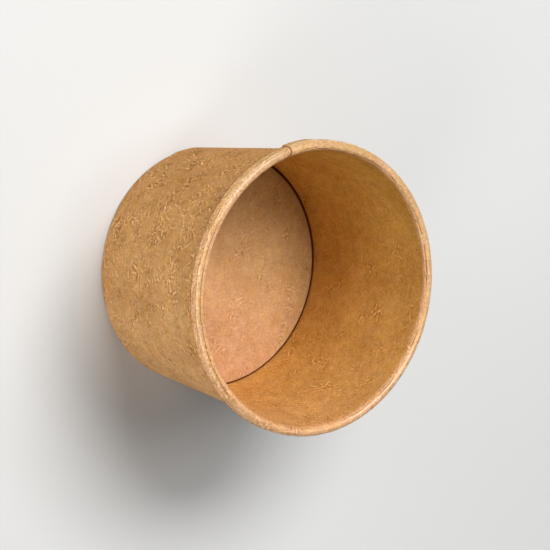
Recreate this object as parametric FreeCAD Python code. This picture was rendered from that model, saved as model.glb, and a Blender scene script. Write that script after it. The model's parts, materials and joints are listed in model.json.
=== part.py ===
import FreeCAD, Part
import math
import os

# Paper soup container, in millimetres: +Z up the axis, origin at the centre of the foot.
# It is two blanks of board. The side wall is a cone, lapped and glued at one seam, rolled
# out at the rim and folded in and up at the foot. The base disc has a turned-down skirt
# that is held in that fold.

# Outside sizes, away from the seam
rim_diameter = 98.0
foot_diameter = 81.0
height = 68.0

# Board and glue
wall_board = 0.45
base_board = 0.45
glue_line = 0.05

# Rolled rim: a flattened roll whose end is tucked up inside it. It leaves the wall in a
# wide bend, the shoulder, which turns the board through shoulder_turn.
rim_width = 3.45
rim_depth = 5.4
rim_tuck = 1.2
shoulder_bend = 2.4
shoulder_turn = math.radians(50)

# Side seam: the inner ply's cut edge is at seam_azimuth, and the lap runs clockwise from
# it, seen from above. Beside each cut edge, the other ply slopes back to the plain wall.
seam_azimuth = 210.0
seam_lap = 9.5
seam_slope = 2.8
seam_swell = 0.22

# Foot and base disc
floor_height = 12.3
floor_bend = 0.65
hem_clearance = 1.45
hem_bend = 0.06
skirt_clearance = 0.3

FULL_TURN = 360.0
AXIS_FOOT = FreeCAD.Vector(0, 0, 0)
AXIS_UP = FreeCAD.Vector(0, 0, 1)

rim_radius = rim_diameter / 2
foot_radius = foot_diameter / 2
lap_angle = math.degrees(seam_lap / rim_radius)
slope_angle = math.degrees(seam_slope / rim_radius)
hem_height = floor_height - base_board - hem_clearance

# The wall's lean from upright, set by the foot's outside and the root of the rolled rim
lean = math.atan2(rim_radius - rim_width + wall_board - foot_radius, height - rim_width / 2)
up_the_wall = math.pi / 2 - lean
down_the_wall = -math.pi / 2 - lean


def across_wall(thickness):
    """Level distance through a layer that lies along the wall."""
    return thickness / math.cos(lean)


def along_wall(rise):
    """Length along the wall for a rise in height."""
    return rise / math.cos(lean)


def wall_radius(z, depth=0.0):
    """Radius of the wall's inner face at a height, or of a face that deep inside it."""
    return foot_radius - across_wall(wall_board + depth) + z * math.tan(lean)


def run(length):
    return ("run", length)


def bend(turn, radius):
    return ("bend", turn, radius)


def walk(start, heading, steps, offset):
    """Edges of the face that lies offset to the right of a path of runs and bends.

    Points are (radius, height). A bend's radius is that of the path itself, a left turn
    is positive, and each edge comes back as its two ends, or three points for an arc.
    """
    here = (start[0] + offset * math.sin(heading), start[1] - offset * math.cos(heading))
    edges = []
    for step in steps:
        if step[0] == "run":
            there = (here[0] + step[1] * math.cos(heading), here[1] + step[1] * math.sin(heading))
            edges.append([here, there])
        else:
            turn = step[1]
            side = math.copysign(1.0, turn)
            reach = side * (step[2] + side * offset)
            centre = (here[0] - reach * math.sin(heading), here[1] + reach * math.cos(heading))
            points = [here]
            for angle in (heading + turn / 2, heading + turn):
                points.append((centre[0] + reach * math.sin(angle), centre[1] - reach * math.cos(angle)))
            edges.append(points)
            heading += turn
            there = points[-1]
        here = there
    return edges


def outline(path, near, far, azimuth):
    """Closed outline, at an azimuth, of a strip of board between two faces of a path."""
    start, heading, steps = path
    forward = walk(start, heading, steps, near)
    back = [edge[::-1] for edge in reversed(walk(start, heading, steps, far))]
    cut_end = [forward[-1][-1], back[0][0]]
    cut_start = [back[-1][-1], forward[0][0]]
    angle = math.radians(azimuth)
    edges = []
    for edge in forward + [cut_end] + back + [cut_start]:
        corners = [FreeCAD.Vector(r * math.cos(angle), r * math.sin(angle), z) for r, z in edge]
        curve = Part.Arc(*corners) if len(corners) == 3 else Part.LineSegment(*corners)
        edges.append(curve.toShape())
    return Part.Wire(edges)


def turned(wire, angle):
    """Solid swept by an outline round the axis."""
    return Part.Face(wire).revolve(AXIS_FOOT, AXIS_UP, angle)


def wall_path(plies, swell):
    """The side wall's inner face, from the hem's top edge to the tuck in the rolled rim.

    The foot and the rim have room for a stack of plies, and the roll swells by the same
    amount all round.
    """
    stack = plies * wall_board
    pocket = base_board + 2 * glue_line
    bend_height = stack + hem_bend
    flat = across_wall(pocket - 2 * hem_bend)
    bend_drop = hem_bend * math.sin(lean)

    # The roll's two upper bends lead from the wall to its top and to its outer run
    top = height + swell * (1 - math.sin(lean))
    outer_radius = rim_radius + swell * (1 + math.cos(lean))
    shoulder_radius = shoulder_bend + swell
    heading = lean + shoulder_turn
    shoulder_width = shoulder_radius * (math.cos(lean) - math.cos(heading))
    shoulder_rise = shoulder_radius * (math.sin(heading) - math.sin(lean))
    spare = outer_radius - wall_radius(top) - shoulder_width + shoulder_rise * math.tan(lean)
    roll_radius = spare / (1 + math.cos(heading) - (1 - math.sin(heading)) * math.tan(lean))
    wall_top = top - shoulder_rise - roll_radius * (1 - math.sin(heading))

    # The lower bend of the roll touches the outer run, and lies a glue line off the wall
    roll_foot = height - rim_depth
    root = wall_radius(roll_foot, -stack)
    room = (outer_radius - root) * math.cos(lean) - glue_line
    lower_radius = room / (1 + math.cos(lean) + math.sin(lean))

    start = (wall_radius(hem_height, pocket), hem_height)
    steps = [
        run(along_wall(hem_height - bend_height - bend_drop)),
        bend(math.pi / 2 + lean, hem_bend),
        run(flat),
        bend(math.pi / 2 - lean, hem_bend),
        run(along_wall(wall_top - bend_height + bend_drop)),
        bend(-shoulder_turn, shoulder_radius),
        bend(-math.pi + lean + shoulder_turn, roll_radius),
        run(top - roll_radius - roll_foot - lower_radius),
        bend(-math.pi - lean, lower_radius),
        run(rim_tuck),
    ]
    return start, down_the_wall, steps


def side_wall():
    """The lapped cone: plain wall, the lap of two plies, and a slope beside each cut edge."""
    plain = wall_path(1, 0.0)
    lapped = wall_path(2, seam_swell)
    lap_end = seam_azimuth - lap_angle
    plain_start = seam_azimuth + slope_angle
    plain_turn = FULL_TURN - lap_angle - 2 * slope_angle

    plain_wall = turned(outline(plain, 0.0, wall_board, plain_start), plain_turn)
    lap = turned(outline(lapped, 0.0, 2 * wall_board, lap_end), lap_angle)
    inner_slope = Part.makeLoft([
        outline(plain, 0.0, wall_board, lap_end - slope_angle),
        outline(lapped, 0.0, wall_board, lap_end),
    ], True, True)
    outer_slope = Part.makeLoft([
        outline(lapped, wall_board, 2 * wall_board, seam_azimuth),
        outline(plain, 0.0, wall_board, plain_start),
    ], True, True)
    return plain_wall.fuse([lap, inner_slope, outer_slope]).removeSplitter().Solids[0]


def base_disc():
    """The disc, with its skirt turned down along the wall and ending above the fold."""
    edge_radius = floor_bend + base_board
    bend_height = floor_height - edge_radius
    bend_centre = wall_radius(bend_height, glue_line + edge_radius)
    skirt_top = bend_height - edge_radius * math.sin(lean)
    skirt_end = 2 * wall_board + skirt_clearance
    steps = [
        run(bend_centre),
        bend(-math.pi / 2 - lean, edge_radius),
        run(along_wall(skirt_top - skirt_end)),
    ]
    path = ((0.0, floor_height), 0.0, steps)
    return turned(outline(path, 0.0, base_board, 0.0), FULL_TURN)


os.makedirs("parts", exist_ok=True)
for node, make in {"side_wall": side_wall, "base_disc": base_disc}.items():
    shape = make()
    shape.exportStep("parts/" + node + ".step")
    print(node, shape.ShapeType, len(shape.Solids), shape.isValid(), shape.Volume)
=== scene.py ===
import json
import math

import bpy
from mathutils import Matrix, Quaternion, Vector


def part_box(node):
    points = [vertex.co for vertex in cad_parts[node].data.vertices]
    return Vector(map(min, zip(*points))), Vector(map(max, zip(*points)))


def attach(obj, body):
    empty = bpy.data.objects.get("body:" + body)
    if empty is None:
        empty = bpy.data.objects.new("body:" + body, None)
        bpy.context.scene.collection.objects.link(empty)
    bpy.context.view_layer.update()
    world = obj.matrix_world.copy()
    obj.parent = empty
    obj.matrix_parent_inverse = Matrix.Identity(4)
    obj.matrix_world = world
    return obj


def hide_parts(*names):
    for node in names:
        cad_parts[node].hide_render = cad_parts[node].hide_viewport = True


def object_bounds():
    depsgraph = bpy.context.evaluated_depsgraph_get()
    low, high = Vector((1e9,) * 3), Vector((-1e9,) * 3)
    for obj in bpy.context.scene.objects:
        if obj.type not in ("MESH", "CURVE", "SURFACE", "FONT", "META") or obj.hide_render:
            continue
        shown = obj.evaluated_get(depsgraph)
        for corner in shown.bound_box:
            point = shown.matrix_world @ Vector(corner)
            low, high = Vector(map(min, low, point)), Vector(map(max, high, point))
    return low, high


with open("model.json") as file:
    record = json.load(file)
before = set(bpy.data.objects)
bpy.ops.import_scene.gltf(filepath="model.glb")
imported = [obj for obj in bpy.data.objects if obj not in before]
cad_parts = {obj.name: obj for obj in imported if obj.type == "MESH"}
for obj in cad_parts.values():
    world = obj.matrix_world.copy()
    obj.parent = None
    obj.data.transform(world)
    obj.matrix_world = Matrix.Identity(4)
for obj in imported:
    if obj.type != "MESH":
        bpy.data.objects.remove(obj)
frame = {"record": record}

bl_info = {
    "name": "Paper soup container",
    "version": (1, 0, 0),
    "blender": (4, 5, 0),
    "location": "3D View > Sidebar > Soup container",
    "description": "A kraft board soup container with a rolled rim, a lapped seam and a set-in base",
    "category": "Object",
}

MM = 0.001
WHITE = (1, 1, 1, 1)
BLACK = (0, 0, 0, 1)
FULL_TURN = 2 * math.pi
QUARTER_TURN = math.pi / 2

CAD_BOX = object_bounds()
WALL_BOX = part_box("side_wall")
DISC_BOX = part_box("base_disc")
MOUNTS = {mount["name"]: mount for mount in frame["record"]["mounts"]}


# -------- settings

def a_length(name, description, default):
    return bpy.props.FloatProperty(
        name=name, description=description, default=default, unit="LENGTH", precision=5)


def an_angle(name, description, default):
    return bpy.props.FloatProperty(name=name, description=description, default=default, subtype="ANGLE")


def a_colour(name, description, default):
    return bpy.props.FloatVectorProperty(
        name=name, description=description, default=default, size=3, subtype="COLOR", min=0, max=1)


class ContainerShape(bpy.types.PropertyGroup):
    """Sizes of the container, in metres and radians"""

    rim_radius: a_length("Rim radius", "Outside of the rolled rim", MOUNTS["rim"]["dims"]["r_mm"] * MM)
    rim_height: a_length("Rim height", "Top of the rolled rim, away from the seam", MOUNTS["rim"]["pos_m"][2])
    rim_width: a_length("Rim width", "Width of the roll, from the wall's inner face outwards", 3.45 * MM)
    rim_depth: a_length(
        "Rim depth", "Height of the roll, from its top to its underside",
        MOUNTS["rim"]["dims"]["length_mm"] * MM)
    rim_tuck: a_length("Rim tuck", "Length of board turned up inside the roll", 1.2 * MM)
    shoulder_bend: a_length(
        "Shoulder bend", "Radius of the wide bend in which the roll leaves the wall", 2.4 * MM)
    shoulder_turn: an_angle("Shoulder turn", "How far that bend turns the board", math.radians(50))
    foot_radius: a_length("Foot radius", "Outside of the wall, carried down to the ground", 40.5 * MM)
    wall_board: a_length("Wall board", "Thickness of the side wall's board", 0.45 * MM)
    base_board: a_length("Base board", "Thickness of the base disc's board", 0.45 * MM)
    glue_line: a_length("Glue line", "Thickness of the glue between two layers of board", 0.05 * MM)
    floor_height: a_length("Floor height", "Top face of the base disc above the foot", DISC_BOX[1].z)
    floor_bend: a_length("Floor bend", "Inner radius of the bend round the base disc", 0.65 * MM)
    skirt_end: a_length("Skirt end", "Lower edge of the base disc's skirt", DISC_BOX[0].z)
    hem_height: a_length("Hem height", "Top edge of the hem folded up inside the foot", 10.4 * MM)
    hem_bend: a_length("Hem bend", "Inner radius of the two bends at the foot", 0.06 * MM)
    seam_azimuth: an_angle("Seam azimuth", "Where the inner ply's cut edge stands", math.radians(210))
    seam_lap: a_length("Seam lap", "Width of the glued lap, measured at the rim", 9.5 * MM)
    seam_slope: a_length("Seam slope", "Length over which a ply climbs on to the other's edge", 2.8 * MM)
    seam_swell: a_length("Seam swell", "How much larger the roll is where two plies lie in it", 0.22 * MM)
    wall_wave: a_length("Wall wave", "Unevenness of the wall between foot and rim", 0.07 * MM)
    roll_wave: a_length("Roll wave", "Unevenness of the rolled rim", 0.10 * MM)
    disc_wave: a_length("Disc wave", "Unevenness of the base disc", 0.10 * MM)


class BoardFinish(bpy.types.PropertyGroup):
    """Colours of the kraft board"""

    outside: a_colour("Outside", "Main colour of the bare outer face", (0.610, 0.311, 0.112))
    inside: a_colour("Inside", "Main colour of the coated inner face", (0.590, 0.309, 0.087))
    base: a_colour("Base", "Main colour of the base disc", (0.520, 0.290, 0.134))
    rim: a_colour("Rim", "Colour of the coated face where it is stretched in the roll", (0.595, 0.322, 0.143))
    cut_edge: a_colour("Cut edge", "Colour of the board where it is cut", (0.62, 0.40, 0.21))


class StudioSetting(bpy.types.PropertyGroup):
    """Floor, lamps and camera"""

    floor_colour: a_colour("Floor colour", "Colour of the studio floor", (0.62, 0.62, 0.61))
    floor_size: bpy.props.FloatProperty(
        name="Floor size", description="Radius of the studio floor", default=3.0, unit="LENGTH")
    sky_strength: bpy.props.FloatProperty(
        name="Sky strength", description="Strength of the even light from all round", default=0.06)
    camera_azimuth: an_angle(
        "Camera azimuth", "Direction from the aim to the camera, round the axis", math.radians(-88.53))
    camera_elevation: an_angle(
        "Camera elevation", "Height of the camera above the aim, as an angle", math.radians(51.98))
    camera_roll: an_angle("Camera roll", "Turn of the camera about its line of sight", math.radians(101.72))
    camera_distance: bpy.props.FloatProperty(
        name="Camera distance", description="From the aim to the camera",
        default=0.9154, unit="LENGTH")
    camera_aim: bpy.props.FloatVectorProperty(
        name="Camera aim", description="Point that the camera looks at",
        default=(-1.83 * MM, 4.44 * MM, 37.51 * MM), size=3, subtype="TRANSLATION", precision=5)
    lens: bpy.props.FloatProperty(
        name="Lens", description="Focal length in millimetres", default=177.7, unit="CAMERA")


# -------- node helpers

class Field:
    """A number or a vector that a node tree works out at each point, for plain arithmetic."""

    def __init__(self, socket):
        self.socket = socket
        self.tree = socket.id_data

    def __add__(self, other):
        return maths("ADD", self, other)

    def __radd__(self, other):
        return maths("ADD", other, self)

    def __sub__(self, other):
        return maths("SUBTRACT", self, other)

    def __rsub__(self, other):
        return maths("SUBTRACT", other, self)

    def __mul__(self, other):
        return maths("MULTIPLY", self, other)

    def __truediv__(self, other):
        return maths("DIVIDE", self, other)

    def __abs__(self):
        return maths("ABSOLUTE", self)


def put(value, socket):
    """Link a field to a node's input, or set the input to a plain value."""
    if isinstance(value, Field):
        value.tree.links.new(value.socket, socket)
    else:
        socket.default_value = value


def add_node(tree, kind, settings=None, inputs=None):
    """Add a node with its settings, and set or link its inputs by name or number."""
    node = tree.nodes.new(kind)
    for name, value in (settings or {}).items():
        setattr(node, name, value)
    for name, value in (inputs or {}).items():
        put(value, node.inputs[name])
    return node


def output(tree, kind, name, settings=None, inputs=None):
    """One output, by name or number, of a node that is added for it."""
    return Field(add_node(tree, kind, settings, inputs).outputs[name])


def fields(node):
    """All of a node's outputs, by name."""
    return {socket.name: Field(socket) for socket in node.outputs}


def tree_of(*values):
    """The tree of the first field among some values."""
    return next(value.tree for value in values if isinstance(value, Field))


def maths(operation, *values, clamp=False):
    """What a maths node makes of some values, which are vectors if the first field is one."""
    lead = next(value for value in values if isinstance(value, Field))
    if lead.socket.type in ("VECTOR", "RGBA"):
        result = "Value" if operation in ("DOT_PRODUCT", "LENGTH") else "Vector"
        return output(lead.tree, "ShaderNodeVectorMath", result, {"operation": operation},
                      dict(enumerate(values)))
    return output(lead.tree, "ShaderNodeMath", 0, {"operation": operation, "use_clamp": clamp},
                  dict(enumerate(values)))


def scaled(vector, factor):
    return output(vector.tree, "ShaderNodeVectorMath", "Vector", {"operation": "SCALE"},
                  {"Vector": vector, "Scale": factor})


def ramp(value, low, high, start=0.0, end=1.0):
    """Smooth step of a value from start, at low, to end, at high."""
    return output(value.tree, "ShaderNodeMapRange", "Result", {"interpolation_type": "SMOOTHSTEP"},
                  {"Value": value, "From Min": low, "From Max": high, "To Min": start, "To Max": end})


def combined(tree, x, y, z):
    return output(tree, "ShaderNodeCombineXYZ", "Vector", None, {"X": x, "Y": y, "Z": z})


def separated(vector):
    node = add_node(vector.tree, "ShaderNodeSeparateXYZ", None, {"Vector": vector})
    return [Field(part) for part in node.outputs]


def mixed_vector(factor, a, b):
    return output(factor.tree, "ShaderNodeMix", 1, {"data_type": "VECTOR"}, {0: factor, 4: a, 5: b})


def mixed_colour(factor, a, b, blend="MIX"):
    return output(tree_of(factor, a, b), "ShaderNodeMix", 2, {"data_type": "RGBA", "blend_type": blend},
                  {0: factor, 6: a, 7: b})


def new_group(name, kind, inputs, outputs):
    """A node group, its inputs as fields by name, and the sockets of its outputs.

    An input is given as its default, a number or a colour, or as its type where it has none.
    """
    tree = bpy.data.node_groups.new(name, kind)
    types = {float: "Float", int: "Int", tuple: "Color"}
    for socket_name, value in inputs.items():
        has_default = not isinstance(value, str)
        socket_type = "NodeSocket" + (types[type(value)] if has_default else value)
        socket = tree.interface.new_socket(socket_name, in_out="INPUT", socket_type=socket_type)
        if has_default:
            socket.default_value = value
    for socket_name, value in outputs.items():
        tree.interface.new_socket(socket_name, in_out="OUTPUT", socket_type="NodeSocket" + value)
    return tree, fields(tree.nodes.new("NodeGroupInput")), tree.nodes.new("NodeGroupOutput").inputs


def place_group(group, inputs):
    tree = tree_of(*inputs.values())
    return fields(add_node(tree, "ShaderNodeGroup", {"node_tree": group}, inputs))


# -------- board materials

SHEET_MAP = "Sheet"
# Painted shade in the groove between the base disc's edge and the wall
CREVICE_PAINTED_SHADE = (0.28, 0.15, 0.10, 1)
# Painted shadow beside the step where the face dips under the seam's cut edge
SEAM_PAINTED_SHADOW = (0.38, 0.25, 0.17, 1)
# Painted shade inside the folds along the roll
FOLD_PAINTED_SHADE = (0.66, 0.52, 0.40, 1)
# Painted warm tint of light bounced between the walls, strongest toward the base disc
DEEP_PAINTED_BOUNCE = (1.0, 0.985, 0.88, 1)
FIBRE_SHEEN = (1.0, 0.82, 0.60, 1)

# Where a painted shade begins and where it is complete: along the inner wall from the base disc's
# face, round the wall from the seam, and along the disc from its bend
DEEP_REACH = (46 * MM, 8 * MM)
FLOOR_REACH = (0.15 * MM, -0.25 * MM)
SEAM_REACH = (0.50 * MM, 0.20 * MM)
DISC_REACH = (-0.05 * MM, 0.45 * MM)

# How much narrower the painted shades beside the disc become toward DRIFT_AZIMUTH, and are all round
WALL_NARROWING, DISC_NARROWING = (0.25 * MM, 0.20 * MM), (0.32 * MM, 0.28 * MM)

# The board's colour, and how bare it is of fibres, drift toward this azimuth
DRIFT_AZIMUTH = math.radians(340)
LEAST_BARENESS = 0.05

FIBRE_LAYERS = (
    # cell, length, width, curl, share, shift
    (4.2, 4.6, 1.00, 0.25, 0.65, 3.1),
    (3.5, 3.8, 0.90, 0.40, 0.65, 17.7),
    (2.9, 3.1, 0.80, 0.50, 0.70, 41.3),
    (2.3, 2.5, 0.70, 0.65, 0.70, 73.9),
)
BARK_SPECK = {"Cell": 5.0, "Length": 1.1, "Width": 0.40, "Curl": 0.4, "Share": 0.30, "Shift": 149.0}

# How much a dark fibre darkens, a pale one lightens over a dark one, and its shaded sides darken
DARK_FIBRE = 0.40
PALE_OVER_DARK = 0.78
SHADED_SIDES = 0.29
DARKEST_STROKE, DARKEST_LEVEL = -0.30, 0.1

# How much each pattern changes the board's tone, redness or yellowness
CLOUD_DEPTH, BLOTCH_DEPTH, MOTTLE_DEPTH, SPECK_DEPTH = 0.13, 0.12, 0.15, 0.32
WARM_DEPTH, GOLDEN_DEPTH = 0.035, 0.14
RED_POWER, BLUE_POWER = 0.78, 1.32
BLOTCH_RELIEF, MOTTLE_RELIEF = 0.5, 0.18

SHEET_NOISES = {
    # spot size in millimetres, shift, detail, stretch along the sheet
    "patches": (8.0, 5.3, 3.0, 1.0),
    "cloud": (15.0, 37.0, 3.0, 1.0),
    "blotch": (3.0, 61.0, 3.0, 1.0),
    "mottle": (0.8, 83.0, 2.0, 1.0),
    "warm": (6.0, 101.0, 4.0, 1.0),
    "golden": (4.5, 127.0, 4.0, 1.0),
    "pleat": (2.0, 211.0, 3.0, 0.25),
    "crease": (0.5, 223.0, 1.0, 5.0),
    "crumple": (0.75, 239.0, 2.0, 1.6),
    "rubbing": (2.0, 251.0, 3.0, 1.0),
}


def fibre_group():
    """Short curved fibres, one to a cell, scattered over a sheet measured in millimetres.

    Core is 1 along the middle of a fibre, Edge is 1 along both its sides, and Tone is a
    number from -1 to 1 that each fibre keeps to itself.
    """
    tree, given, result = new_group(
        "Paper fibres", "ShaderNodeTree",
        {"Sheet": "Vector", "Cell": 1.5, "Length": 1.2, "Width": 0.12,
         "Curl": 0.5, "Share": 0.7, "Shift": 0.0},
        {"Core": "Float", "Edge": "Float", "Tone": "Float"})
    shift = combined(tree, given["Shift"], given["Shift"], 0.0)
    place = given["Sheet"] / given["Cell"] + shift
    cells = add_node(tree, "ShaderNodeTexVoronoi",
                     {"voronoi_dimensions": "2D", "feature": "F1"},
                     {"Vector": place, "Scale": 1.0, "Randomness": 0.9})
    away = place - Field(cells.outputs["Position"])
    x, y, _ = separated(scaled(away, given["Cell"]))
    turn_luck, bend_luck, keep_luck = separated(Field(cells.outputs["Color"]))

    turn = turn_luck * FULL_TURN
    cosine = maths("COSINE", turn)
    sine = maths("SINE", turn)
    along = x * cosine + y * sine
    across = y * cosine - x * sine
    curl = (bend_luck - 0.5) * given["Curl"]
    bow = along * along * curl
    aside = abs(across + bow)

    length_luck = bend_luck * 0.25 + 0.3
    half_length = given["Length"] * length_luck
    tip = half_length * 0.55
    taper = ramp(abs(along), tip, half_length, 1.0, 0.0)
    kept = taper * maths("LESS_THAN", keep_luck, given["Share"])
    body = ramp(aside, 0.0, given["Width"], 1.0, 0.0)
    halo = ramp(aside, given["Width"] * 0.7, given["Width"] * 2.0, 1.0, 0.0)
    core = body * kept
    put(core, result["Core"])
    put(maths("SUBTRACT", halo * kept, core, clamp=True), result["Edge"])
    put(turn_luck * 2.0 - 1.0, result["Tone"])
    return tree


def sheet_noise(sheet, grain, shift, detail, stretch=1.0):
    """Smooth noise from about -1 to 1 on a sheet in millimetres, with spots of that size."""
    tree = sheet.tree
    scaling = combined(tree, 1 / (grain * stretch), 1 / grain, 1.0)
    place = sheet * scaling + combined(tree, shift, shift, 0.0)
    noise = output(tree, "ShaderNodeTexNoise", "Fac", {"noise_dimensions": "2D"},
                   {"Vector": place, "Scale": 1.0, "Detail": detail, "Roughness": 0.55})
    return (noise - 0.5) * 4.0


def board_group(fibres):
    """Colour and height of kraft board: clouds, specks, and patches of light and dark fibres.

    Side goes from -1 to 1 across the container, and Redder, Pinker and Barer say how much
    redder, pinker and barer of fibres the board becomes toward 1.
    """
    tree, given, result = new_group(
        "Kraft board", "ShaderNodeTree",
        {"Sheet": "Vector", "Colour": (0.5, 0.28, 0.11, 1), "Clouds": 1.0, "Fibres": 1.0,
         "Specks": 1.0, "Bareness": 0.0, "Redder": 0.0, "Pinker": 0.25,
         "Barer": 0.0, "Fineness": 1.0, "Relief": 1.0},
        {"Colour": "Color", "Height": "Float", "Side": "Float"})
    sheet = scaled(given["Sheet"], 1 / MM)
    place = output(tree, "ShaderNodeTexCoord", "Object")
    side = maths("DOT_PRODUCT", place, direction(DRIFT_AZIMUTH, 0.0) / CAD_BOX[1][0])
    put(side, result["Side"])

    # Fibres lie thicker in some patches than in others. Some are pale, with shaded sides,
    # and some are dark.
    bareness = maths("MULTIPLY_ADD", side, given["Barer"], given["Bareness"])
    bareness = maths("MAXIMUM", bareness, LEAST_BARENESS)
    thick = sheet_noise(sheet, *SHEET_NOISES["patches"]) - bareness
    fibre_share = ramp(thick, -0.6, 0.6, 0.12, 1.0) * given["Fibres"]
    drawn = scaled(sheet, given["Fineness"])
    tone = raised = 0.0
    for cell, length, width, curl, share, shift in FIBRE_LAYERS:
        strokes = place_group(fibres, {"Sheet": drawn, "Cell": cell, "Length": length, "Width": width,
                                       "Curl": curl, "Share": share, "Shift": shift})
        pale = ramp(strokes["Tone"], -0.6, -0.35)
        core = strokes["Core"] * (pale * PALE_OVER_DARK - DARK_FIBRE)
        sides = strokes["Edge"] * pale * SHADED_SIDES
        tone = tone + core - sides
        raised = raised + strokes["Core"] * (pale - 0.3)
    tone = maths("MAXIMUM", tone, DARKEST_STROKE)

    cloud, blotch, mottle, warm, golden = (
        sheet_noise(sheet, *SHEET_NOISES[name]) for name in ("cloud", "blotch", "mottle", "warm", "golden"))
    bark = place_group(fibres, {"Sheet": sheet, **BARK_SPECK})

    level = (cloud * CLOUD_DEPTH + blotch * BLOTCH_DEPTH + mottle * MOTTLE_DEPTH) * given["Clouds"]
    level = 1.0 + level + tone * fibre_share
    speck = bark["Core"] * given["Specks"] * SPECK_DEPTH
    level = maths("MAXIMUM", level * (1.0 - speck), DARKEST_LEVEL)

    # Pale places are creamy and dark ones are brown, with a little drift of its own in each colour
    warmth = warm * given["Clouds"] * WARM_DEPTH + side * given["Redder"]
    gold = golden * given["Clouds"] * GOLDEN_DEPTH - side * given["Pinker"]
    red = maths("POWER", level, RED_POWER) * (1.0 + warmth)
    blue = maths("POWER", level, BLUE_POWER) * (1.0 - gold)
    put(given["Colour"] * combined(tree, red, level, blue), result["Colour"])

    height = raised * fibre_share * given["Relief"] + blotch * BLOTCH_RELIEF + mottle * MOTTLE_RELIEF
    put(height, result["Height"])
    return tree


def painted_shade_group():
    """Paint shade over a colour as its place goes from Open, where it is left alone, to Shut."""
    tree, given, result = new_group(
        "Crevice", "ShaderNodeTree",
        {"Colour": (0.5, 0.28, 0.11, 1), "Place": 0.0, "Open": 0.0, "Shut": 1.0,
         "Shade": (0.1, 0.05, 0.03, 1)},
        {"Colour": "Color"})
    depth = ramp(given["Place"], given["Open"], given["Shut"])
    shaded = mixed_colour(1.0, given["Colour"], given["Shade"], "MULTIPLY")
    put(mixed_colour(depth, given["Colour"], shaded), result["Colour"])
    return tree


def under_painted_shade(crevice, colour, shade, place, start, reach):
    """A colour under painted shade that begins, and is complete, at the two distances of reach from start."""
    return place_group(crevice, {"Colour": colour, "Place": place, "Open": start + reach[0],
                                 "Shut": start + reach[1], "Shade": shade})["Colour"]


def board_material(name, group, colour, roughness, relief, **board_values):
    """A finish of the board, with its own values for the board's clouds and fibres."""
    material = bpy.data.materials.new(name)
    material.use_nodes = True
    tree = material.node_tree
    shader = tree.nodes["Principled BSDF"]
    sheet = output(tree, "ShaderNodeUVMap", "UV", {"uv_map": SHEET_MAP})
    board = place_group(group, {"Sheet": sheet, "Colour": (*colour, 1), **board_values})
    bump = add_node(tree, "ShaderNodeBump", None,
                    {"Height": board["Height"], "Strength": 1.0, "Distance": relief})
    put(board["Colour"], shader.inputs["Base Color"])
    put(Field(bump.outputs["Normal"]), shader.inputs["Normal"])
    shader.inputs["Roughness"].default_value = roughness
    shader.inputs["Specular IOR Level"].default_value = 0.08
    shader.inputs["Specular Tint"].default_value = FIBRE_SHEEN
    return material, board, bump


ROLL_CREASES = (
    # distance past the roll's start, shift, steadiness, middle and reach along the sheet
    (1.75, 307.0, 0.0, 140.0, 200.0),
    (3.55, 331.0, 1.0, 218.0, 36.0),
    (5.30, 353.0, 0.0, 140.0, 200.0),
)
CREASE_WANDER, CREASE_WIDTH, CREASE_DEPTH = 0.22, 0.26, -1.5
CREASE_BENDS, CREASE_RUNS = 9.0, 14.0

ROLL_TONES_AND_PAINTED_LIGHT = (
    # distance past the roll's start, then how much paler or darker it is: the stretched board's own paler
    # tone, with painted highlights on the crest and painted shade beside it and under the roll
    (1.0, 0.99, 0.99, 0.95),
    (2.3, 1.10, 1.11, 1.14),
    (3.0, 0.97, 1.02, 1.03),
    (3.6, 0.91, 0.90, 0.86),
    (4.1, 0.91, 0.92, 0.88),
    (4.6, 1.16, 1.36, 1.46),
    (5.5, 1.34, 1.43, 1.53),
    (7.2, 1.32, 1.34, 1.40),
    (7.8, 0.97, 0.90, 0.82),
)
ROLL_LENGTH = 10.0

# Where a change begins and is complete, in millimetres past the roll's start
ROLL_BEGINS, PINK_ENDS, GLOSS_ENDS = (-0.4, 0.9), (-0.5, 0.6), (4.9, 5.9)
PLEATS_DEEPEN, CRUMPLES_DEEPEN = (3.5, 6.0), (2.8, 4.5)
PALEST_TONE = 2.0
WRINKLE_SHADING = 0.19


def roll_wrinkles(in_mm, past):
    """Pleats across the roll, fine creases along it, and a few long thin folds.

    Past is the distance along the section from where the roll begins, in millimetres.
    """
    pleat, crease, crumple = (
        sheet_noise(in_mm, *SHEET_NOISES[name]) for name in ("pleat", "crease", "crumple"))
    pleats = pleat * ramp(past, *PLEATS_DEEPEN, 0.5, 0.9)
    wrinkle = pleats + crease * 0.6 + crumple * ramp(past, *CRUMPLES_DEEPEN, 0.5, 1.0)
    along_only = in_mm * (1.0, 0.0, 0.0)
    along, _, _ = separated(in_mm)
    folds = 0.0
    for distance, shift, steady, middle, reach in ROLL_CREASES:
        wander = sheet_noise(along_only, CREASE_BENDS, shift, 3.0) * CREASE_WANDER
        aside = abs(past - distance - wander)
        luck = sheet_noise(along_only, CREASE_RUNS, shift + 7.0, 1.0)
        from_middle = abs(along - middle)
        fades = ramp(luck + steady, -0.35, 0.35) * ramp(from_middle, reach * 0.75, reach, 1.0, 0.0)
        folds = folds + ramp(aside, 0.0, CREASE_WIDTH, 1.0, 0.0) * fades
    return wrinkle, folds


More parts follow.
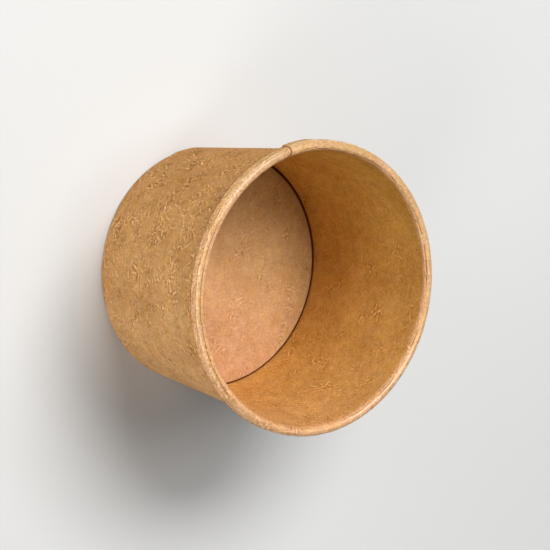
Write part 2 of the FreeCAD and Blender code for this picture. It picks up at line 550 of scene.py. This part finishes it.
def coated_kraft(group, crevice, shape, finish):
    """The smooth inner face, pleated and glossy where it turns out in the roll, with the roll's paler tones,
    painted highlights and painted shade, and painted shade at the seam and beside the base disc.
    """
    material, board, bump = board_material(
        "coated_kraft", group, finish.inside, 0.46, 0.10 * MM,
        Clouds=1.0, Fibres=1.15, Specks=1.2, Relief=0.8, Fineness=1.3, Bareness=0.5, Barer=-0.35, Redder=0.05)
    tree = material.node_tree
    shader = tree.nodes["Principled BSDF"]
    section = wall_section(shape, 1, 0.0, 0.0)
    roll_travel = section[FOOT_PIECES + UPRIGHT_PIECES][1]
    floor_travel = wall_travel(section, shape.floor_height)
    sheet = Field(tree.nodes["UV Map"].outputs["UV"])
    round_wall, travel, _ = separated(sheet)
    in_mm = scaled(sheet, 1 / MM)
    past = (travel - roll_travel) / MM
    in_roll = ramp(past, *ROLL_BEGINS)
    put(ramp(past, *PINK_ENDS, 0.25, 0.0), board["Colour"].socket.node.inputs["Pinker"])
    wrinkle, folds = roll_wrinkles(in_mm, past)
    put(board["Height"] + wrinkle * in_roll + folds * CREASE_DEPTH, bump.inputs["Height"])

    ratio = [rim / inside for rim, inside in zip(finish.rim, finish.inside)]
    # Painted shade and light on the wrinkles: lighter on their tops, darker in their hollows
    painted_wrinkle_shade = 1.0 + wrinkle * WRINKLE_SHADING
    # Bands along the roll: the board's own paler tone there, with painted highlights and painted shade
    tones = add_node(tree, "ShaderNodeValToRGB", inputs={"Fac": past / ROLL_LENGTH})
    stops = tones.color_ramp.elements
    for number, (distance, *tone) in enumerate(ROLL_TONES_AND_PAINTED_LIGHT):
        stop = stops[number] if number < len(stops) else stops.new(1.0)
        stop.position = distance / ROLL_LENGTH
        stop.color = (*(part / PALEST_TONE for part in tone), 1)
    paler = scaled(Field(tones.outputs["Color"]), painted_wrinkle_shade * PALEST_TONE)
    rim_colour = paler * combined(tree, *ratio)
    # Painted shade inside the roll's folds
    rim_colour = mixed_colour(folds, rim_colour, FOLD_PAINTED_SHADE, "MULTIPLY")
    rim_tint = mixed_colour(in_roll, WHITE, rim_colour)
    coloured = mixed_colour(1.0, board["Colour"], rim_tint, "MULTIPLY")
    tighter = maths("MULTIPLY_ADD", board["Side"], *WALL_NARROWING)
    # Painted warm tint of bounced light toward the base disc
    coloured = under_painted_shade(crevice, coloured, DEEP_PAINTED_BOUNCE, travel, floor_travel, DEEP_REACH)
    # Painted shade in the groove beside the base disc
    coloured = under_painted_shade(crevice, coloured, CREVICE_PAINTED_SHADE, travel + tighter, floor_travel, FLOOR_REACH)

    # Painted shadow along the seam, where the face dips under the blank's own start
    seam_place = FULL_TURN * sheet_radius(shape)
    from_seam = abs(round_wall - seam_place)
    coloured = under_painted_shade(crevice, coloured, SEAM_PAINTED_SHADOW, from_seam, 0.0, SEAM_REACH)
    put(coloured, shader.inputs["Base Color"])

    glossy = in_roll * ramp(past, *GLOSS_ENDS, 1.0, 0.0) * (1.0 - folds)
    put(glossy, shader.inputs["Coat Weight"])
    shader.inputs["Coat Roughness"].default_value = 0.35
    shader.inputs["Specular IOR Level"].default_value = 0.0
    return material


def base_kraft(group, crevice, shape, finish):
    """The base disc's smooth face, with painted shade where its edge turns down beside the wall."""
    material, board, _ = board_material(
        "base_kraft", group, finish.base, 0.50, 0.10 * MM,
        Clouds=0.85, Fibres=1.0, Bareness=0.6, Specks=1.0, Relief=0.5, Redder=0.10, Fineness=1.3)
    tree = material.node_tree
    flat_radius = disc_section(shape)[DISC_FLAT_PIECES][0]
    from_centre = maths("LENGTH", Field(tree.nodes["UV Map"].outputs["UV"]))
    tighter = maths("MULTIPLY_ADD", board["Side"], *DISC_NARROWING)
    place = from_centre - tighter
    # Painted shade where the disc's edge turns down beside the wall
    coloured = under_painted_shade(crevice, board["Colour"], CREVICE_PAINTED_SHADE, place, flat_radius, DISC_REACH)
    put(coloured, tree.nodes["Principled BSDF"].inputs["Base Color"])
    return material


def bare_kraft(group, finish):
    """The bare outer face, with a painted highlight along the fold at the foot."""
    material, board, _ = board_material(
        "bare_kraft", group, finish.outside, 0.68, 0.10 * MM,
        Clouds=1.15, Fibres=1.35, Fineness=1.10, Bareness=0.0, Barer=0.5, Redder=-0.05, Pinker=0.12)
    tree = material.node_tree
    sheet = Field(tree.nodes["UV Map"].outputs["UV"])
    _, _, rise = separated(output(tree, "ShaderNodeTexCoord", "Object"))
    rubbing = sheet_noise(scaled(sheet, 1 / MM), *SHEET_NOISES["rubbing"])
    reach = (rubbing * 0.3 + 1.0) * (0.9 * MM)
    # Painted highlight along the fold at the foot, in the cut edge's paler colour
    painted_foot_highlight = ramp(rise, 0.0, reach, 0.75, 0.0)
    pale = mixed_colour(painted_foot_highlight, board["Colour"], (*finish.cut_edge, 1))
    put(pale, tree.nodes["Principled BSDF"].inputs["Base Color"])
    return material


def board_materials():
    """The four finishes, made once."""
    made = bpy.data.materials
    if "bare_kraft" not in made:
        finish = bpy.context.scene.board_finish
        shape = bpy.context.scene.container_shape
        group = board_group(fibre_group())
        crevice = painted_shade_group()
        coated_kraft(group, crevice, shape, finish)
        base_kraft(group, crevice, shape, finish)
        bare_kraft(group, finish)
        board_material("cut_kraft", group, finish.cut_edge, 0.80, 0.03 * MM,
                       Clouds=0.6, Fibres=0.3, Specks=0.4)
    return made["coated_kraft"], made["bare_kraft"], made["base_kraft"], made["cut_kraft"]


# -------- bent sections

def run(length, pieces):
    return ("run", length, pieces)


def bend(turn, radius, pieces):
    return ("bend", turn, radius, pieces)


def walked(start, heading, steps, offset=0.0):
    """Points (radius, travel, height) of the face that lies offset to the right of a path.

    Travel is the distance walked along the path itself. A left turn is positive.
    """
    travel = 0.0
    here = (start[0] + offset * math.sin(heading), start[1] - offset * math.cos(heading))
    points = [(here[0], travel, here[1])]
    for step in steps:
        pieces = step[-1]
        if step[0] == "run":
            for piece in range(1, pieces + 1):
                gone = step[1] * piece / pieces
                points.append((here[0] + gone * math.cos(heading), travel + gone,
                               here[1] + gone * math.sin(heading)))
            travel += step[1]
        else:
            turn, radius = step[1], step[2]
            side = math.copysign(1.0, turn)
            reach = side * (radius + side * offset)
            centre = (here[0] - reach * math.sin(heading), here[1] + reach * math.cos(heading))
            for piece in range(1, pieces + 1):
                share = piece / pieces
                angle = heading + turn * share
                points.append((centre[0] + reach * math.sin(angle), travel + abs(turn) * radius * share,
                               centre[1] - reach * math.cos(angle)))
            travel += abs(turn) * radius
            heading += turn
        here = (points[-1][0], points[-1][2])
    return points


# Pieces before the wall's upright face begins, up that face, and across the base disc's flat
FOOT_PIECES = 18
UPRIGHT_PIECES = 36
DISC_FLAT_PIECES = 30


class Wall:
    """The cone's slope, and sizes measured along it."""

    def __init__(self, shape):
        self.shape = shape
        widening = shape.rim_radius - shape.rim_width + shape.wall_board - shape.foot_radius
        self.lean = math.atan2(widening, shape.rim_height - shape.rim_width / 2)

    def across(self, thickness):
        return thickness / math.cos(self.lean)

    def along(self, rise):
        return rise / math.cos(self.lean)

    def radius(self, z, depth=0.0):
        """Radius of the wall's inner face at a height, or of a face that deep inside it."""
        return self.shape.foot_radius - self.across(self.shape.wall_board + depth) + z * math.tan(self.lean)


def wall_section(shape, plies, swell, offset):
    """Section of one ply, from the hem's top edge to the tuck in the rolled rim."""
    wall = Wall(shape)
    lean = wall.lean
    stack = plies * shape.wall_board
    pocket = shape.base_board + 2 * shape.glue_line
    bend_height = stack + shape.hem_bend
    bend_drop = shape.hem_bend * math.sin(lean)

    # The roll's two upper bends lead from the wall to its top and to its outer run
    top = shape.rim_height + swell * (1 - math.sin(lean))
    outer_radius = shape.rim_radius + swell * (1 + math.cos(lean))
    shoulder_radius = shape.shoulder_bend + swell
    heading = lean + shape.shoulder_turn
    shoulder_width = shoulder_radius * (math.cos(lean) - math.cos(heading))
    shoulder_rise = shoulder_radius * (math.sin(heading) - math.sin(lean))
    spare = outer_radius - wall.radius(top) - shoulder_width + shoulder_rise * math.tan(lean)
    roll_radius = spare / (1 + math.cos(heading) - (1 - math.sin(heading)) * math.tan(lean))
    wall_top = top - shoulder_rise - roll_radius * (1 - math.sin(heading))

    # The lower bend of the roll touches the outer run, and lies a glue line off the wall
    roll_foot = shape.rim_height - shape.rim_depth
    room = (outer_radius - wall.radius(roll_foot, -stack)) * math.cos(lean) - shape.glue_line
    lower_radius = room / (1 + math.cos(lean) + math.sin(lean))

    start = (wall.radius(shape.hem_height, pocket), shape.hem_height)
    steps = [
        run(wall.along(shape.hem_height - bend_height - bend_drop), 6),
        bend(QUARTER_TURN + lean, shape.hem_bend, 5),
        run(wall.across(pocket - 2 * shape.hem_bend), 2),
        bend(QUARTER_TURN - lean, shape.hem_bend, 5),
        run(wall.along(wall_top - bend_height + bend_drop), UPRIGHT_PIECES),
        bend(-shape.shoulder_turn, shoulder_radius, 7),
        bend(-math.pi + lean + shape.shoulder_turn, roll_radius, 11),
        run(top - roll_radius - roll_foot - lower_radius, 3),
        bend(-math.pi - lean, lower_radius, 12),
        run(shape.rim_tuck, 2),
    ]
    return walked(start, -QUARTER_TURN - lean, steps, offset)


def sheet_radius(shape):
    """Radius at which a turn round the axis is measured on the side wall's sheet."""
    return (shape.rim_radius + shape.foot_radius) / 2


def wall_travel(section, height):
    """How far along a wall section its upright face reaches a height."""
    for (_, travel, low), (_, next_travel, high) in zip(section[FOOT_PIECES:], section[FOOT_PIECES + 1:]):
        if low <= height <= high:
            return travel + (next_travel - travel) * (height - low) / (high - low)
    raise ValueError("the section doesn't reach that height")


def disc_section(shape):
    """Section of the base disc's top face, from its centre to the skirt's lower edge."""
    wall = Wall(shape)
    edge_radius = shape.floor_bend + shape.base_board
    bend_height = shape.floor_height - edge_radius
    bend_centre = wall.radius(bend_height, shape.glue_line + edge_radius)
    skirt_top = bend_height - edge_radius * math.sin(wall.lean)
    steps = [
        run(bend_centre, DISC_FLAT_PIECES),
        bend(-QUARTER_TURN - wall.lean, edge_radius, 8),
        run(wall.along(skirt_top - shape.skirt_end), 8),
    ]
    return walked((0.0, shape.floor_height), 0.0, steps)


def section_object(name, points):
    """A section as a line of points, held in an object that a node tree can read."""
    mesh = bpy.data.meshes.new(name)
    mesh.from_pydata(points, [(i, i + 1) for i in range(len(points) - 1)], [])
    return bpy.data.objects.new(name, mesh)


# -------- sweeping trees

WALL_STEPS, DISC_STEPS = 480, 240
SAME_POINT = 0.001 * MM
WALL_SEED, ROLL_OUT_SEED, ROLL_UP_SEED, DISC_SEED = 4.0, 11.0, 23.0, 9.0

# Size of the bumps in the wall, in the roll outwards and upwards, and in the disc
WALL_BUMP, ROLL_OUT_BUMP, ROLL_UP_BUMP, DISC_BUMP = 16 * MM, 7 * MM, 9 * MM, 14 * MM


def sampled_section(section, number):
    """Radius, travel and height of the numbered point of a section."""
    tree = number.tree
    held = output(tree, "GeometryNodeObjectInfo", "Geometry", None, {"Object": section})
    place = output(tree, "GeometryNodeInputPosition", 0)
    return output(tree, "GeometryNodeSampleIndex", "Value", {"data_type": "FLOAT_VECTOR", "domain": "POINT"},
                  {"Geometry": held, "Value": place, "Index": number})


def unevenness(place, size, seed, detail):
    """Smooth noise from about -0.5 to 0.5, with bumps of about a size."""
    tree = place.tree
    at = place / combined(tree, size, size, size) + combined(tree, seed, seed, seed)
    noise = output(tree, "ShaderNodeTexNoise", "Fac", {"noise_dimensions": "3D"},
                   {"Vector": at, "Scale": 1.0, "Detail": detail, "Roughness": 0.5})
    return noise - 0.5


def swept_grid(steps_around, points_along):
    """A grid to be bent round the axis, with the share of the turn and the point's number."""
    tree = steps_around.tree
    columns = steps_around + 1.0
    grid = output(tree, "GeometryNodeMeshGrid", "Mesh", None,
                  {"Size X": 1.0, "Size Y": 1.0, "Vertices X": columns, "Vertices Y": points_along})
    x, y, _ = separated(output(tree, "GeometryNodeInputPosition", 0))
    share = x + 0.5
    last = points_along - 1.0
    number = maths("ROUND", (y + 0.5) * last)
    return grid, share, number


def around(radius, azimuth):
    return radius * maths("COSINE", azimuth), radius * maths("SINE", azimuth)


def finished(mesh, sheet_u, sheet_v, place, material):
    """Store the sheet's own map, move the grid into place, close it where points meet, and
    give it its material."""
    tree = mesh.tree
    mesh = output(tree, "GeometryNodeStoreNamedAttribute", 0, {"data_type": "FLOAT2", "domain": "CORNER"},
                  {"Geometry": mesh, "Name": SHEET_MAP, "Value": combined(tree, sheet_u, sheet_v, 0.0)})
    mesh = output(tree, "GeometryNodeSetPosition", 0, None, {"Geometry": mesh, "Position": place})
    mesh = output(tree, "GeometryNodeMergeByDistance", 0, None, {"Geometry": mesh, "Distance": SAME_POINT})
    mesh = output(tree, "GeometryNodeSetShadeSmooth", 0, None, {"Geometry": mesh})
    mesh = output(tree, "GeometryNodeRealizeInstances", 0, None, {"Geometry": mesh})
    return output(tree, "GeometryNodeSetMaterial", 0, None, {"Geometry": mesh, "Material": material})


def wrapped_blank_tree():
    """The side wall's inner face: a blank wrapped round once and a little more.

    It starts at the inner ply's cut edge and runs clockwise. It is the inner ply over the
    lap, comes down to the plain wall, and climbs over its own start as the outer ply.
    """
    tree, given, result = new_group(
        "Wrapped blank", "GeometryNodeTree",
        {"Plain section": "Object", "Inner ply": "Object", "Outer ply": "Object",
         "Steps around": WALL_STEPS, "Points along": 80, "Seam azimuth": 0.0,
         "Lap angle": 0.2, "Slope angle": 0.05, "Sheet radius": 0.045,
         "Roll foot": 0.062, "Still height": 0.014, "Wall wave": 0.0, "Roll wave": 0.0,
         "Seed": WALL_SEED, "Board": "Material"},
        {"Geometry": "Geometry"})
    mesh, share, number = swept_grid(given["Steps around"], given["Points along"])
    whole = given["Lap angle"] + FULL_TURN
    turn = share * whole
    azimuth = given["Seam azimuth"] - turn

    lap_and_slope = given["Lap angle"] + given["Slope angle"]
    climb_start = FULL_TURN - given["Slope angle"]
    as_inner = ramp(turn, given["Lap angle"], lap_and_slope, 1.0, 0.0)
    as_outer = ramp(turn, climb_start, FULL_TURN)
    plain = sampled_section(given["Plain section"], number)
    inner = sampled_section(given["Inner ply"], number)
    outer = sampled_section(given["Outer ply"], number)
    radius, travel, height = separated(mixed_vector(as_outer, mixed_vector(as_inner, plain, inner), outer))

    # Both plies of the lap read the same noise, so that they stay pressed together
    round_x, round_y = around(given["Sheet radius"], azimuth)
    _, _, plain_height = separated(plain)
    on_wall = combined(tree, round_x, round_y, plain_height)
    on_rim = combined(tree, round_x, round_y, 0.0)
    roll_top = given["Roll foot"] + 1 * MM
    free = ramp(plain_height, given["Still height"], given["Still height"] * 2.0)
    in_roll = ramp(plain_height, given["Roll foot"] - 2 * MM, roll_top)
    wall_shift = unevenness(on_wall, WALL_BUMP, given["Seed"], 2.0) * given["Wall wave"] * free
    roll_out = unevenness(on_rim, ROLL_OUT_BUMP, ROLL_OUT_SEED, 2.0) * given["Roll wave"] * in_roll
    roll_up = unevenness(on_rim, ROLL_UP_BUMP, ROLL_UP_SEED, 1.0) * given["Roll wave"] * in_roll
    radius = radius + (wall_shift + roll_out)
    height = height + roll_up

    x, y = around(radius, azimuth)
    sheet_u = turn * given["Sheet radius"]
    made = finished(mesh, sheet_u, travel, combined(tree, x, y, height), given["Board"])
    put(made, result["Geometry"])
    return tree


def pressed_disc_tree():
    """The base disc's top face: a flat blank with its edge turned down."""
    tree, given, result = new_group(
        "Pressed disc", "GeometryNodeTree",
        {"Section": "Object", "Steps around": DISC_STEPS, "Points along": 40,
         "Flat radius": 0.04, "Disc wave": 0.0, "Seed": DISC_SEED, "Board": "Material"},
        {"Geometry": "Geometry"})
    mesh, share, number = swept_grid(given["Steps around"], given["Points along"])
    azimuth = share * -FULL_TURN
    radius, travel, height = separated(sampled_section(given["Section"], number))
    x, y = around(radius, azimuth)
    still = given["Flat radius"] - 4 * MM
    free = ramp(radius, still, given["Flat radius"], 1.0, 0.0)
    sag = unevenness(combined(tree, x, y, 0.0), DISC_BUMP, given["Seed"], 2.0) * given["Disc wave"]
    height = height + sag * free
    sheet_u, sheet_v = around(travel, azimuth)
    made = finished(mesh, sheet_u, sheet_v, combined(tree, x, y, height), given["Board"])
    put(made, result["Geometry"])
    return tree


def grown(name, tree, inputs):
    """Run a geometry tree once and keep its result as a plain mesh."""
    holder = bpy.data.objects.new(name + "_holder", bpy.data.meshes.new(name + "_holder"))
    bpy.context.scene.collection.objects.link(holder)
    modifier = holder.modifiers.new("Shape", "NODES")
    modifier.node_group = tree
    sockets = {item.name: item.identifier for item in tree.interface.items_tree if item.in_out == "INPUT"}
    for socket_name, value in inputs.items():
        modifier[sockets[socket_name]] = value
    graph = bpy.context.evaluated_depsgraph_get()
    mesh = bpy.data.meshes.new_from_object(holder.evaluated_get(graph), depsgraph=graph)
    mesh.name = name
    bpy.data.objects.remove(holder)
    return mesh


def boarded(name, mesh, thickness, materials):
    """Give a sheet its thickness, with its own finish on the far face and on the cut edges."""
    mesh.materials.clear()
    for material in materials:
        mesh.materials.append(material)
    holder = bpy.data.objects.new(name, mesh)
    bpy.context.scene.collection.objects.link(holder)
    modifier = holder.modifiers.new("Board", "SOLIDIFY")
    modifier.thickness = thickness
    modifier.offset = -1.0
    modifier.use_even_offset = True
    modifier.material_offset = 1
    modifier.material_offset_rim = 2
    graph = bpy.context.evaluated_depsgraph_get()
    solid = bpy.data.meshes.new_from_object(holder.evaluated_get(graph), depsgraph=graph)
    solid.name = name
    holder.modifiers.clear()
    holder.data = solid
    solid.set_sharp_from_angle(angle=math.radians(50))
    return holder


# -------- operators

class SOUP_OT_side_wall(bpy.types.Operator):
    """Build the side wall: one lapped blank with its rolled rim and folded foot"""
    bl_idname = "soup.side_wall"
    bl_label = "Side wall"

    def execute(self, context):
        shape = context.scene.container_shape
        coated, bare, _, cut = board_materials()
        sections = {
            "Plain section": wall_section(shape, 1, 0.0, 0.0),
            "Inner ply": wall_section(shape, 2, shape.seam_swell, 0.0),
            "Outer ply": wall_section(shape, 2, shape.seam_swell, shape.wall_board),
        }
        points = len(sections["Plain section"])
        holders = {name: section_object(name, section) for name, section in sections.items()}
        for holder in holders.values():
            context.scene.collection.objects.link(holder)
        mesh = grown("side_wall_sheet", wrapped_blank_tree(), {
            **holders,
            "Steps around": WALL_STEPS,
            "Points along": points,
            "Seam azimuth": shape.seam_azimuth,
            "Lap angle": shape.seam_lap / shape.rim_radius,
            "Slope angle": shape.seam_slope / shape.rim_radius,
            "Sheet radius": sheet_radius(shape),
            "Roll foot": shape.rim_height - shape.rim_depth,
            "Still height": shape.floor_height + 2 * MM,
            "Wall wave": shape.wall_wave,
            "Roll wave": shape.roll_wave,
            "Seed": WALL_SEED,
            "Board": coated,
        })
        for holder in holders.values():
            bpy.data.objects.remove(holder)
        piece = boarded("lapped_side_wall", mesh, shape.wall_board, (coated, bare, cut))
        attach(piece, "root")
        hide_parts("side_wall")
        return {"FINISHED"}


class SOUP_OT_base_disc(bpy.types.Operator):
    """Build the base disc with its turned-down skirt"""
    bl_idname = "soup.base_disc"
    bl_label = "Base disc"

    def execute(self, context):
        shape = context.scene.container_shape
        _, bare, base, cut = board_materials()
        section = disc_section(shape)
        holder = section_object("Disc section", section)
        context.scene.collection.objects.link(holder)
        mesh = grown("base_disc_sheet", pressed_disc_tree(), {
            "Section": holder,
            "Steps around": DISC_STEPS,
            "Points along": len(section),
            "Flat radius": section[DISC_FLAT_PIECES][0],
            "Disc wave": shape.disc_wave,
            "Seed": DISC_SEED,
            "Board": base,
        })
        bpy.data.objects.remove(holder)
        piece = boarded("set_in_base", mesh, shape.base_board, (base, bare, cut))
        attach(piece, "root")
        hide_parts("base_disc")
        return {"FINISHED"}


class SOUP_OT_studio(bpy.types.Operator):
    """Build the floor, the lamps, the even light and the camera"""
    bl_idname = "soup.studio"
    bl_label = "Studio"

    def execute(self, context):
        studio = context.scene.studio_setting
        build_floor(studio)
        build_sky(context.scene, studio)
        build_lamps()
        build_camera(context.scene, studio)
        context.scene.view_settings.view_transform = "Standard"
        return {"FINISHED"}


# Where the floor fades into the backdrop, how dark its clouds are, and how much light it throws back
FLOOR_FADE, FLOOR_CLOUD, FLOOR_BOUNCE = (0.4, 1.1), 0.985, 0.25
BACKDROP_COLOUR = (0.88, 0.88, 0.87, 1)


def background_rays(tree):
    """1 for the camera's own rays and those a shiny or clear surface turns aside, else 0."""
    path = fields(tree.nodes.new("ShaderNodeLightPath"))
    shiny = maths("MAXIMUM", path["Is Glossy Ray"], path["Is Transmission Ray"])
    return maths("MAXIMUM", path["Is Camera Ray"], shiny)


def build_floor(studio):
    mesh = bpy.data.meshes.new("studio_floor")
    corners = 64
    ring = [(studio.floor_size * math.cos(FULL_TURN * i / corners),
             studio.floor_size * math.sin(FULL_TURN * i / corners), 0.0) for i in range(corners)]
    mesh.from_pydata(ring, [], [tuple(range(corners))])
    floor = bpy.data.objects.new("studio_floor", mesh)
    bpy.context.scene.collection.objects.link(floor)
    material = bpy.data.materials.new("studio_floor")
    material.use_nodes = True
    tree = material.node_tree
    shader = tree.nodes["Principled BSDF"]
    place = output(tree, "ShaderNodeTexCoord", "Object")
    cloud = output(tree, "ShaderNodeTexNoise", "Fac", None, {"Vector": place, "Scale": 1.5, "Detail": 2.0})
    low = [level * FLOOR_CLOUD for level in studio.floor_colour]
    seen = mixed_colour(cloud, (*low, 1), (*studio.floor_colour, 1))
    bounced = (*(level * FLOOR_BOUNCE for level in studio.floor_colour), 1)
    background = background_rays(tree)

    # Beyond the lamps' reach the floor is as pale as the backdrop
    distant = ramp(maths("LENGTH", place), *FLOOR_FADE)
    near = mixed_colour(distant, seen, BLACK)
    put(mixed_colour(background, bounced, near), shader.inputs["Base Color"])
    pale = mixed_colour(distant * background, BLACK, BACKDROP_COLOUR)
    put(pale, shader.inputs["Emission Color"])
    shader.inputs["Emission Strength"].default_value = 1.0
    shader.inputs["Roughness"].default_value = 0.9
    mesh.materials.append(material)


def build_sky(scene, studio):
    """Even light, which the camera sees as a pale backdrop."""
    world = bpy.data.worlds.new("studio_sky")
    world.use_nodes = True
    tree = world.node_tree
    tree.nodes.remove(tree.nodes["Background"])
    seen = output(tree, "ShaderNodeBackground", 0, None, {"Color": BACKDROP_COLOUR, "Strength": 1.0})
    lit = output(tree, "ShaderNodeBackground", 0, None, {"Color": WHITE, "Strength": studio.sky_strength})
    choice = output(tree, "ShaderNodeMixShader", 0, None, {0: background_rays(tree), 1: lit, 2: seen})
    put(choice, tree.nodes["World Output"].inputs["Surface"])
    scene.world = world


LAMPS = (
    # name, azimuth and elevation in degrees, distance, width, height, watts
    ("key_lamp", 191.0, 57.0, 1.2, 0.90, 0.50, 16.4),
    ("side_lamp", 322.0, 26.0, 1.2, 0.45, 0.85, 4.6),
    ("top_lamp", 150.0, 76.0, 1.2, 0.45, 0.45, 3.4),
    ("low_lamp", 293.0, 0.0, 1.2, 0.90, 0.06, 5.6),
    ("strip_lamp", 262.0, 23.0, 1.2, 0.60, 0.12, 1.9),
)


def build_lamps():
    for name, azimuth, elevation, distance, width, height, watts in LAMPS:
        data = bpy.data.lights.new(name, "AREA")
        data.shape = "ELLIPSE"
        data.size = width
        data.size_y = height
        data.energy = watts
        lamp = bpy.data.objects.new(name, data)
        away = direction(math.radians(azimuth), math.radians(elevation))
        lamp.location = Vector((0, 0, WALL_BOX[1].z / 2)) + away * distance
        lamp.rotation_mode = "QUATERNION"
        lamp.rotation_quaternion = (-away).to_track_quat("-Z", "Y")
        lamp.visible_camera = False
        bpy.context.scene.collection.objects.link(lamp)


def direction(azimuth, elevation):
    """Unit vector that points that far round the axis and that far above the ground."""
    return Vector((math.cos(azimuth) * math.cos(elevation), math.sin(azimuth) * math.cos(elevation),
                   math.sin(elevation)))


def build_camera(scene, studio):
    data = bpy.data.cameras.new("camera")
    data.lens = studio.lens
    data.sensor_width = 36.0
    camera = bpy.data.objects.new("camera", data)
    away = direction(studio.camera_azimuth, studio.camera_elevation)
    camera.location = Vector(studio.camera_aim) + away * studio.camera_distance
    camera.rotation_mode = "QUATERNION"
    camera.rotation_quaternion = ((-away).to_track_quat("-Z", "Y")
                                  @ Quaternion((0, 0, 1), studio.camera_roll))
    scene.collection.objects.link(camera)
    scene.camera = camera


# -------- panel and registration

class SOUP_PT_panel(bpy.types.Panel):
    """Operators and settings of the soup container"""
    bl_idname = "SOUP_PT_panel"
    bl_label = "Soup container"
    bl_space_type = "VIEW_3D"
    bl_region_type = "UI"
    bl_category = "Soup container"

    def draw(self, context):
        for operator in OPERATORS:
            self.layout.operator(operator.bl_idname)
        for setting in SETTINGS:
            group = getattr(context.scene, setting)
            box = self.layout.box()
            for name in group.__annotations__:
                box.prop(group, name)


OPERATORS = (SOUP_OT_side_wall, SOUP_OT_base_disc, SOUP_OT_studio)
SETTINGS = {"container_shape": ContainerShape, "board_finish": BoardFinish, "studio_setting": StudioSetting}


def register():
    for cls in (*SETTINGS.values(), *OPERATORS, SOUP_PT_panel):
        bpy.utils.register_class(cls)
    for name, cls in SETTINGS.items():
        setattr(bpy.types.Scene, name, bpy.props.PointerProperty(type=cls))


def unregister():
    for name in SETTINGS:
        delattr(bpy.types.Scene, name)
    for cls in (SOUP_PT_panel, *reversed(OPERATORS), *SETTINGS.values()):
        bpy.utils.unregister_class(cls)


def main():
    register()
    bpy.ops.soup.side_wall()
    bpy.ops.soup.base_disc()
    bpy.ops.soup.studio()


if __name__ == "__main__":
    main()
